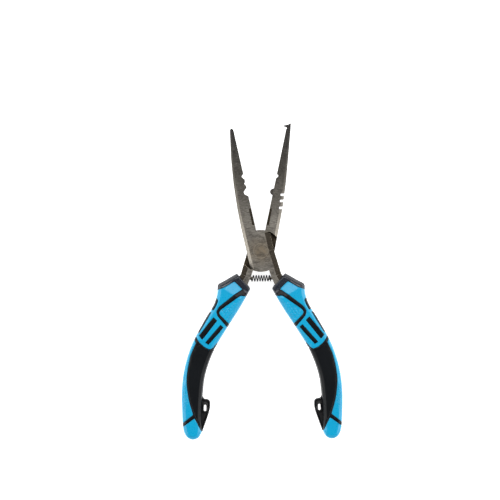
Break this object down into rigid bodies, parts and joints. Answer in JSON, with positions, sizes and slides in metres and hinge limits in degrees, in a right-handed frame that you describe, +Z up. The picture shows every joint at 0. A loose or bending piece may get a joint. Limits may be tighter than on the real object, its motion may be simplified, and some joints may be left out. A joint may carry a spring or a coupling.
{
  "type": "fishing pliers",
  "caption": "Long-nose split-ring pliers with side cutters, a return spring and moulded two-colour grips, fully open.",
  "frame": {"origin": "on the surface that the tool lies on, under the middle of its box", "axes": "+Y to the jaw tips, +X to the right seen from the front, +Z up from the surface, along the pivot"},
  "size_m": [0.1004, 0.1958, 0.0145],
  "materials": {
    "steel_front": "gunmetal, satin",
    "steel_rear": "gunmetal, satin",
    "rivet": "ground flush, satin",
    "spring": "black, polished",
    "peg": "satin",
    "grip_core": "satin black",
    "grip_blue": "satin light blue",
    "palm": "matte black",
    "eyelet": "matte black"
  },
  "bodies": {
    "rear_half": {"rear_lever": "steel_rear", "pivot_rivet": "rivet", "spring_peg_left": "peg", "return_spring": "spring", "grip_core_left": "grip_core", "grip_panel_left": "grip_blue", "grip_wedge_left": "grip_blue", "grip_strip_left": "grip_blue", "grip_end_cap_left": "grip_blue", "palm_pad_left": "palm", "tether_eyelet_left": "eyelet"},
    "front_half": {"front_lever": "steel_front", "spring_peg_right": "peg", "grip_core_right": "grip_core", "grip_panel_right": "grip_blue", "grip_wedge_right": "grip_blue", "grip_strip_right": "grip_blue", "grip_end_cap_right": "grip_blue", "palm_pad_right": "palm", "tether_eyelet_right": "eyelet"}
  },
  "joints": [
    {"name": "pivot", "type": "hinge", "parent": "rear_half", "child": "front_half", "pos_m": [0, 0.0188, 0.00725], "axis": [0, 0, 1], "range_deg": [-24.2, 0], "stiffness_Nm_per_rad": 0.386, "springref_deg": 8.02, "deforming": ["return_spring"]}
  ]
}
